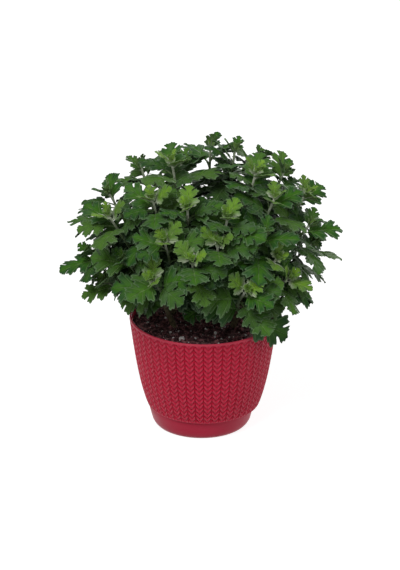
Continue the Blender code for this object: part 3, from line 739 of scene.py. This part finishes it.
def growLeaf(shape, mesh, leaf, layers, chance):
    # one bent copy of the leaf shape
    start = len(shape.verts)
    shape.from_mesh(mesh)
    shape.verts.ensure_lookup_table()
    leaf["tint"] = chance.random()
    rows = len(leafOutline) - 1
    phase = chance.uniform(0, 6.28)
    ruffle = leaf["ruffle"] * leaf["length"]
    slant = chance.uniform(-blade["slant"], blade["slant"])
    for point in shape.verts[start:]:
        x, y, side = point.co
        row, share = point[layers["spot"]][:2]
        angle = row * blade["waves"] + phase + (blade["otherSide"] if x < 0 else 0)
        wave = math.sin(angle) * share * share * ruffle
        puff = quilt(row * rows) * share * (1 - share) * 4 * leaf["puff"] * leaf["length"]
        sink = -blade["sink"] * (1 - ease(share / blade["sinkShare"])) * (1 - y)
        thick = leaves["thickness"] * side
        point[layers["kind"]] = (leaf["age"], leaf["tint"], 0)
        point.co = kept(bend(leaf, x + slant * y * (1 - y), y, wave + puff + sink + thick))


stalks = {
    "radius": 0.75 * mm, "youngSize": 0.9, "youngFoot": 2.0, "grownFoot": 1.5, "sides": 5,
    # stops along the stalk up to 0 and along the blade from there, and the radius past the foot's
    "stops": [-1.0, -0.6, -0.25, 0.0, 0.15, 0.4, 0.75], "widths": [1.1, 0.9, 0.85, 0.62, 0.42, 0.2],
    "under": 0.0004, "ribSink": 0.55, "sink": 0.4, "flat": 0.8,
}


def growStalk(shape, leaf, layers):
    # the stalk runs on under the blade as its midrib
    sides, stops = stalks["sides"], stalks["stops"]
    widths = [stalks["youngFoot" if leaf["young"] else "grownFoot"]] + stalks["widths"]
    size = stalks["radius"] * (stalks["youngSize"] if leaf["young"] else 1)
    made = bmesh.ops.create_grid(shape, x_segments=sides, y_segments=len(stops) - 1, size=1)["verts"]
    for point in made:
        angle = round((point.co.x + 1) / 2 * sides) / sides * 2 * math.pi
        step = round((point.co.y + 1) / 2 * (len(stops) - 1))
        radius = size * widths[step]
        onBlade = stops[step] >= 0
        low = -stalks["under"] - radius * stalks["ribSink"] if onBlade else -radius * stalks["sink"]
        across = math.cos(angle) * radius / leaf["length"]
        point[layers["kind"]] = (leaf["age"], leaf["tint"], 0)
        point[layers["spot"]] = ((stops[step] + 1) / 2, 0, 1)
        lift = low + math.sin(angle) * radius * stalks["flat"]
        point.co = kept(bend(leaf, across, stops[step], lift))
    closeTube(shape, made)


def closeTube(shape, made):
    # a rolled-up grid joined along its seam and closed at both ends, in the stem's material
    bmesh.ops.remove_doubles(shape, verts=made, dist=2 * weld)
    faces = dict.fromkeys(face for point in made if point.is_valid for face in point.link_faces)
    rims = dict.fromkeys(edge for face in faces for edge in face.edges if edge.is_boundary)
    ends = bmesh.ops.edgeloop_fill(shape, edges=list(rims))["faces"]
    for face in list(faces) + ends:
        face.material_index = 1


stems = {
    "ridge": 0.08,
    "ageing": 5,  # the higher, the later up the stem it turns young
    "sides": 7, "steps": 16, "tipSteps": 5, "above": 1.6, "shootAges": (1, 0.3), "tipAges": (0.3, 0),
}


def tube(shape, points, radii, sides, layers, ages=(1, 1), bark=0.0):
    # a closed stem along a row of points; ages say how old it looks at its two ends
    steps = len(points) - 1
    made = bmesh.ops.create_grid(shape, x_segments=sides, y_segments=steps, size=1)["verts"]
    ways = [(points[min(k + 1, steps)] - points[max(k - 1, 0)]).normalized() for k in range(steps + 1)]
    side = ways[0].cross(Vector((0.3, 1, 0.1))).normalized()
    frames = []
    for way in ways:  # the cross direction is carried along so that the tube doesn't twist
        side = (side - way * side.dot(way)).normalized()
        frames.append((side, way.cross(side)))
    for point in made:
        angle = round((point.co.x + 1) / 2 * sides) / sides * 2 * math.pi
        step = round((point.co.y + 1) / 2 * steps)
        first, second = frames[step]
        radius = radii[step] * (1 + stems["ridge"] * math.cos(angle * 3))
        place = points[step] + (first * math.cos(angle) + second * math.sin(angle)) * radius
        if bark:
            place += noise.noise_vector(place * 300) * bark
        age = ages[0] + (ages[1] - ages[0]) * (step / steps) ** stems["ageing"]
        point[layers["kind"]] = (age, 0.5, 0)
        point[layers["spot"]] = (step / steps, 0, 1)
        point.co = place
    closeTube(shape, made)


def newPlantShape():
    # "kind" holds how old the leaf or stem looks and the leaf's tint
    shape = bmesh.new()
    layers = {name: shape.verts.layers.float_vector.new(name) for name in ("spot", "kind")}
    return shape, layers


# Leaf and stem finishes

leafPaint = {
    # from the midrib to the edge
    "young": [(0.255, 0.455, 0.04), (0.18, 0.355, 0.04)],
    "grown": [(0.047, 0.15, 0.01), (0.022, 0.082, 0.018)],
    # the oldest, lowest leaves: their own darker tone, deepened by painted shade
    "old": [(0.026, 0.062, 0.016), (0.017, 0.04, 0.02)],
    # from young to grown
    "veins": [(0.4, 0.54, 0.2), (0.16, 0.26, 0.11)],
    "beneath": [(0.24, 0.38, 0.085), (0.11, 0.185, 0.075)],
    # felt is the leaves' own grey down, and partly a painted sheen
    "light": (0.105, 0.215, 0.034), "feltAndSheen": (0.105, 0.18, 0.092), "speck": (0.024, 0.066, 0.016),
    "edge": (0.19, 0.28, 0.16), "wool": (0.68, 0.71, 0.6),
}
stemPaint = {
    "grown": [(0.048, 0.09, 0.026), (0.105, 0.165, 0.055)],
    "young": [(0.42, 0.47, 0.33), (0.66, 0.69, 0.58)],
    "bark": [(0.075, 0.06, 0.032), (0.17, 0.15, 0.08)],
}


def leafLook():
    finish = {"Specular IOR Level": 0.14, "IOR": 1.42, "Sheen Weight": 0.03, "Sheen Roughness": 0.5}
    graph = Graph("chrysanthemum leaf", finish)
    row, share, under = graph.attribute("spot")
    age, tint = graph.attribute("kind")[:2]
    line = row * float(len(leafOutline) - 1)
    veins = 1 - share.smooth(0.02, 0.09)
    for vein in mainVeins:
        veins = veins.more((1 - abs(line - vein).smooth(0.15, 0.8)) * (1 - share.smooth(0.8, 0.98)))
    for vein in sideVeins:
        veins = veins.more((1 - abs(line - vein).smooth(0.1, 0.5)) * share.smooth(0.25, 0.45) * 0.5)
    fine = graph.noise(0.0035, 3)
    mottle = graph.noise(0.012, 2)
    young = graph.mix(share.smooth(0.0, 1.0), *leafPaint["young"])
    grown = graph.mix(share.smooth(0.15, 0.95), *leafPaint["grown"])
    old = graph.mix(share.smooth(0.1, 0.9), *leafPaint["old"])
    shade = graph.mix(age.smooth(0.0, 0.5), young, grown)
    # older, lower leaves turn darker, partly by their own age and partly by painted shade
    shade = graph.mix(age.smooth(0.7, 1.4), shade, old)
    light = ((tint - 0.5) * 1.2 + 0.3 * mottle) * (1 - age.smooth(0.85, 1.3) * 0.75)
    shade = graph.mix(light, shade, leafPaint["light"])
    # grey patches: partly the leaves' own felt, partly painted sheen
    feltAndSheen = mottle.smooth(0.5, 0.7) * (tint.smooth(0.1, 0.5) - tint.smooth(0.5, 0.9))
    shade = graph.mix(feltAndSheen * 0.5, shade, leafPaint["feltAndSheen"])
    shade = graph.mix(fine.smooth(0.45, 0.8) * 0.3, shade, leafPaint["speck"])
    pale = graph.mix(age.smooth(0, 1), *leafPaint["veins"])
    shade = graph.mix(veins * 0.36, shade, pale)
    shade = graph.mix(share.smooth(0.86, 1.0) * 0.5, shade, leafPaint["edge"])
    wool = (1 - row.smooth(0.12, 0.35)) * (1 - share.smooth(0.75, 1.0) * 0.6) * (1 - age.smooth(0.1, 0.45))
    beneath = graph.mix(age.smooth(0.1, 0.6), *leafPaint["beneath"])
    shade = graph.mix(under * 0.6, shade, beneath)
    shade = graph.mix(wool, shade, leafPaint["wool"])
    graph.bump(fine * 0.35 - veins * 0.8, 0.0009, 0.8)
    return graph.paint(colour=shade, roughness=0.5 + fine * 0.12 + under * 0.15)


def stemLook():
    # pale and woolly where it is young
    graph = Graph("woolly stem", {"Specular IOR Level": 0.2, "Sheen Weight": 0.1, "Sheen Roughness": 0.4})
    age = graph.attribute("kind")[0]
    streak = graph.noise(0.002, 3)
    grown = graph.mix(streak.smooth(0.3, 0.7), *stemPaint["grown"])
    young = graph.mix(streak.smooth(0.3, 0.7), *stemPaint["young"])
    shade = graph.mix(age.smooth(0.1, 0.8), young, grown)
    graph.bump(streak, 0.0004, 0.6)
    return graph.paint(colour=shade, roughness=0.75 + streak * 0.1)


def barkLook():
    graph = Graph("half woody stem", {"Specular IOR Level": 0.2})
    streak = graph.noise(0.0025, 4)
    shade = graph.mix(streak.smooth(0.35, 0.65), *stemPaint["bark"])
    graph.bump(streak, 0.0006, 0.8)
    return graph.paint(colour=shade, roughness=0.8 + streak * 0.1)


leafGreen = leafLook()
stemGreen = stemLook()
bark = barkLook()
leafMesh = leafTemplate(1, 3)  # each row of the outline, and three strips from the midrib to the edge
lowerLeafMesh = leafTemplate(1, 2)
smallLeafMesh = leafTemplate(2, 2)


# The lower leaves, which only the finished plant has

lowerLeaves = {
    # below the shoot's tip: between the grown leaves, and then one after another down the branch
    "between": [14 * mm, 21 * mm, 31 * mm], "betweenSize": (0.7, 0.85), "betweenTilt": (44, 60),
    "lowerCount": 12, "lowerSpacing": 9.5 * mm, "lowerSize": (0.95, 1.1), "lowerTilt": (62, 88),
    "lastShare": 0.3, "roll": 0.3, "stalk": 11 * mm, "arch": 0.75, "fold": 0.18, "seed": 31,
    "tries": 14, "trySwing": 0.35, "tryTilt": 0.06, "tryLeans": 4, "tryShrink": 0.035,
    "near": 60 * mm,  # leaves farther apart than this aren't tested against each other
    # the soil shows in front and the sides are open: from each x on, no lower leaf reaches below the height
    # beside it, which rises towards the front
    "clear": [(-150 * mm, 150 * mm), (-60 * mm, 124 * mm), (35 * mm, 100 * mm), (60 * mm, 120 * mm)],
    "clearSlope": 0.43,
}
# half outline for the test: (across, along)
testRows = [(0.03, 0.0), (0.27, 0.12), (0.42, 0.36), (0.38, 0.7), (0.18, 0.92), (0.0, 1.0)]
potRoom = {
    "room": 1.2 * mm, "overSoil": 3.5 * mm, "inner": 5 * mm, "rim": 4 * mm,
    "heights": (70 * mm, 30 * mm), "steps": 32,
}


def testSheet(leaf):
    # a rough outline of a leaf, to see if two of them cross
    points = []
    for width, along in testRows:
        points += [bend(leaf, -width, along), bend(leaf, 0, along), bend(leaf, width, along)]
    faces = []
    for k in range(0, 3 * (len(testRows) - 1), 3):
        faces += [(k, k + 1, k + 4, k + 3), (k + 1, k + 2, k + 5, k + 4)]
    return BVHTree.FromPolygons(points, faces), points[7]  # and the middle of its third row


def potTree():
    # the pot and its soil with a little room round them
    room = potRoom["room"]
    rim = pot["rimRadius"] + room
    overSoil = soil["top"] + potRoom["overSoil"]
    overRim = pot["rimHeight"] + room
    profile = [(0, overSoil), (rim - potRoom["inner"], overSoil), (rim - potRoom["rim"], overRim)]
    profile.append((rim, overRim))
    profile += [(potRadius(height) + room, height) for height in potRoom["heights"]]
    profile += [(base["topRadius"], 0), (0, 0)]
    shape = turn(profile, potRoom["steps"])
    tree = BVHTree.FromBMesh(shape)
    shape.free()
    return tree


def inBox(point):
    # at least a millimetre inside the solids' box
    return all(cadBox[0][k] + 1 * mm < point[k] < cadBox[1][k] - 1 * mm for k in range(3))


def planLowerLeaves(shoots):
    rule = lowerLeaves
    chance = random.Random(rule["seed"])
    roomTree = potTree()
    placed = [testSheet(leaf) for shoot in shoots for leaf in shoot["leaves"] + shoot["tipLeaves"]]
    added = 0
    first = plant["tipLength"] + leaves["grownFirst"] + leaves["grownSpacing"] * 2
    lower = [first + rule["lowerSpacing"] * (step + 1) for step in range(rule["lowerCount"])]
    for step, below in enumerate(rule["between"] + lower):
        kind = "between" if step < len(rule["between"]) else "lower"
        for shoot in shoots:
            rank = plant["youngCount"] + plant["grownCount"] + step
            share = 1 - below / shoot["reach"]
            size = chance.uniform(*rule[kind + "Size"])
            roll = chance.uniform(-rule["roll"], rule["roll"])
            tilt = math.radians(chance.uniform(*rule[kind + "Tilt"]))
            if share < rule["lastShare"]:
                continue
            root, way = curvePoint(shoot["route"], share)
            around = shoot["turn"] + plant["goldenAngle"] * (step + 0.5)
            for attempt, place in placesTried(root, way, around, tilt, roll, rule):
                leaf = {
                    "frame": place, "length": shoot["length"] * size * (1 - rule["tryShrink"] * attempt),
                    "stalk": rule["stalk"], "arch": rule["arch"], "fold": rule["fold"],
                    "droop": leaves["droop"], "young": False, "rank": rank,
                }
                sheet, middle = testSheet(leaf)
                tip = bend(leaf, 0, 1)
                clear = [height for start, height in rule["clear"] if tip.x > start][-1]
                low = tip.z < clear - rule["clearSlope"] * tip.y
                if low or not inBox(tip) or roomTree.overlap(sheet):
                    continue
                near = [other for other, spot in placed if (spot - middle).length < rule["near"]]
                if any(sheet.overlap(other) for other in near):
                    continue
                placed.append((sheet, middle))
                shoot["leaves"].append(leaf)
                added += 1
                break
    print("lower leaves added:", added)


planLowerLeaves(shoots)


# how old a leaf looks, which for the lowest leaves also sets their painted shade: the age of the uppermost
# one of a kind, and what each one below it adds
leafAges = {"bright": (0, 0.12), "plain": (0.46, 0.1), "grown": (0.62, 0.09), "oldest": 1.3}
# ruffles along a leaf's edge and quilting between its veins, in shares of its length
leafRelief = {"young": (0.02, 0.018), "grown": (0.035, 0.024), "bud": (0.01, 0.01)}


def finishLeaf(leaf, shoot):
    if leaf["young"]:
        first, change = leafAges["bright" if shoot["bright"] else "plain"]
        leaf["age"] = first + change * leaf["rank"]
    else:
        first, change = leafAges["grown"]
        leaf["age"] = min(first + change * (leaf["rank"] - plant["youngCount"]), leafAges["oldest"])
    leaf["ruffle"], leaf["puff"] = leafRelief["young" if leaf["young"] else "grown"]


buds = {
    "count": 4, "length": (6.5, 2.2), "tilt": (5, 5), "turn": 4, "roll": 0.2, "sink": 1.2,  # lengths in mm
    "stalk": 0.8 * mm, "arch": 0.15, "fold": 0.7, "droop": 0.2, "brightAge": 0.0, "plainAge": 0.34,
}


def budLeaves(shoot, chance):
    # the tight woolly leaves in the middle of a shoot's tip, the innermost first
    root, way = curvePoint(shoot["route"], 1)
    root = root - way * buds["sink"] * mm
    made = []
    for k in range(buds["count"]):
        length, tilt = [first + change * k for first, change in (buds["length"], buds["tilt"])]
        around = shoot["turn"] + plant["goldenAngle"] * (k + buds["turn"])
        roll = chance.uniform(-buds["roll"], buds["roll"])
        leaf = {
            "frame": leafFrame(root, way, around, math.radians(tilt), roll), "length": length * mm,
            "stalk": buds["stalk"], "arch": buds["arch"], "fold": buds["fold"], "droop": buds["droop"],
            "young": True, "rank": 0, "age": buds["brightAge" if shoot["bright"] else "plainAge"],
        }
        leaf["ruffle"], leaf["puff"] = leafRelief["bud"]
        made.append(leaf)
    return made


def stemStretch(shoot, first, last, count):
    points, radii = [], []
    for step in range(count):
        share = first + (last - first) * step / (count - 1)
        points.append(curvePoint(shoot["route"], share)[0])
        radii.append(plant["branch"] + (plant["tip"] - plant["branch"]) * share)
    return points, radii


def leafyPiece(node, stretch, ages, grown, small, chance):
    # blades first, then their stalks and the stem
    shape, layers = newPlantShape()
    for leaf in grown:
        inside = leaf["rank"] >= plant["youngCount"] + plant["grownCount"]
        growLeaf(shape, lowerLeafMesh if inside else leafMesh, leaf, layers, chance)
    for leaf in small:
        growLeaf(shape, smallLeafMesh, leaf, layers, chance)
    for leaf in grown + small:
        growStalk(shape, leaf, layers)
    tube(shape, *stretch, stems["sides"], layers, ages)
    name = ("young_" if node.startswith("tip") else "leafy_") + node
    addPiece(name, shape, [leafGreen, stemGreen], [node], 60)


def makeShoot(shoot, chance):
    above = plant["gap"] / shoot["reach"] * stems["above"]
    for leaf in shoot["leaves"] + shoot["tipLeaves"]:
        finishLeaf(leaf, shoot)
    small = budLeaves(shoot, chance)
    stretch = stemStretch(shoot, plant["stubShare"] + above, shoot["split"], stems["steps"])
    leafyPiece(shoot["node"], stretch, stems["shootAges"], shoot["leaves"],
               [] if shoot["bright"] else small, chance)
    if shoot["bright"]:
        stretch = stemStretch(shoot, shoot["split"] + above, 1, stems["tipSteps"])
        leafyPiece(shoot["tipNode"], stretch, stems["tipAges"], shoot["tipLeaves"],
                   small, chance)


woody = {
    "aboveSoil": 2 * mm, "past": 2,  # how far in mm the stem runs on past the pinch
    "steps": 7, "thinning": 0.2, "sides": 10, "bark": 0.35 * mm, "branchSides": 8, "branchBark": 0.2 * mm,
}


def makeCutting(index):
    x, y = plant["cuttings"][index]
    steps = woody["steps"]
    foot = Vector((x * mm, y * mm, soil["top"] - plant["depth"]))
    soilLine = Vector((x * mm, y * mm, soil["top"] + woody["aboveSoil"]))
    pinch = pinchPoint(index)
    top = pinch + (pinch - soilLine).normalized() * woody["past"] * mm
    shape, layers = newPlantShape()
    points = [foot.lerp(soilLine, k / (steps - 1)) for k in range(steps)]
    points += [soilLine.lerp(top, (k + 1) / steps) for k in range(steps)]
    upper = [max(k - steps + 1, 0) for k in range(2 * steps)]
    radii = [plant["trunk"] * (1 - woody["thinning"] * k / steps) for k in upper]
    tube(shape, points, radii, woody["sides"], layers, bark=woody["bark"])
    for shoot in shoots:
        if shoot["cutting"] == index:
            points, radii = stemStretch(shoot, 0, plant["stubShare"], steps)
            tube(shape, points, radii, woody["branchSides"], layers, bark=woody["branchBark"])
    addPiece(f"woody_cutting_{index + 1}", shape, [bark, bark], [f"cutting_{index + 1}"], 60)


chance = random.Random(lowerLeaves["seed"] + 1)
for shoot in shoots:
    makeShoot(shoot, chance)
for index in range(len(plant["cuttings"])):
    makeCutting(index)
for mesh in (leafMesh, lowerLeafMesh, smallLeafMesh):
    bpy.data.meshes.remove(mesh)
print("plant done")


# Floor, light and camera

studio = {
    "floorSize": 12.0, "floorColours": [(0.35, 0.35, 0.35), (0.37, 0.37, 0.37)], "floorGlow": 0.86,
    "worldStrength": 0.28, "lightTarget": (0, 0, 0.15),
    "lens": 200, "sensor": 36, "distance": 3.17, "elevation": 23.4, "target": (-0.0035, 0, 0.1485),
}
lamps = [
    {"name": "key_light", "place": (-0.8, -1.6, 2.3), "size": 1.1, "power": 44},
    {"name": "fill_light", "place": (1.6, -1.2, 1.2), "size": 1.4, "power": 8},
    {"name": "back_light", "place": (0.9, 2.2, 0.8), "size": 1.4, "power": 20},
]


def makeFloor():
    finish = {"Roughness": 0.9, "Specular IOR Level": 0.0, "Emission Strength": studio["floorGlow"]}
    graph = Graph("white studio floor", finish)
    cloud = graph.noise(3.0, 1)
    shade = graph.mix(cloud, *studio["floorColours"])
    graph.shader.inputs["Emission Color"].default_value = (1, 1, 1, 1)
    graph.paint(colour=shade)
    shape = bmesh.new()
    bmesh.ops.create_grid(shape, x_segments=1, y_segments=1, size=studio["floorSize"])
    floor = bpy.data.objects.new("studio_floor", meshOf("studio_floor", shape, [graph.material]))
    scene.collection.objects.link(floor)
    floor.visible_diffuse = False  # it shows white and doesn't light the leaves from below
    floor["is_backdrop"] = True


def makeLight(lamp):
    light = bpy.data.lights.new(lamp["name"], "AREA")
    light.energy = lamp["power"]
    light.size = lamp["size"]
    item = bpy.data.objects.new(lamp["name"], light)
    scene.collection.objects.link(item)
    item.location = lamp["place"]
    way = Vector(studio["lightTarget"]) - item.location
    item.rotation_euler = way.to_track_quat("-Z", "Y").to_euler()


def makeCamera():
    camera = bpy.data.objects.new("camera", bpy.data.cameras.new("camera"))
    camera.data.lens = studio["lens"]
    camera.data.sensor_width = studio["sensor"]
    raised = math.radians(studio["elevation"])
    away = Vector((0, -math.cos(raised), math.sin(raised)))
    camera.location = Vector(studio["target"]) + away * studio["distance"]
    camera.rotation_euler = (-away).to_track_quat("-Z", "Y").to_euler()
    scene.collection.objects.link(camera)
    scene.camera = camera


makeFloor()
for lamp in lamps:
    makeLight(lamp)
makeCamera()
world = bpy.data.worlds.new("studio")
scene.world = world
world.use_nodes = True
background = world.node_tree.nodes["Background"]
background.inputs["Color"].default_value = (1, 1, 1, 1)
background.inputs["Strength"].default_value = studio["worldStrength"]
scene.view_settings.view_transform = "Standard"
print("studio done")

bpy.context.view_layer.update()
meshes = [item.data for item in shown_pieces() if item.type == "MESH"]
total = sum(len(face.vertices) - 2 for mesh in meshes for face in mesh.polygons)
print("triangles shown:", total)
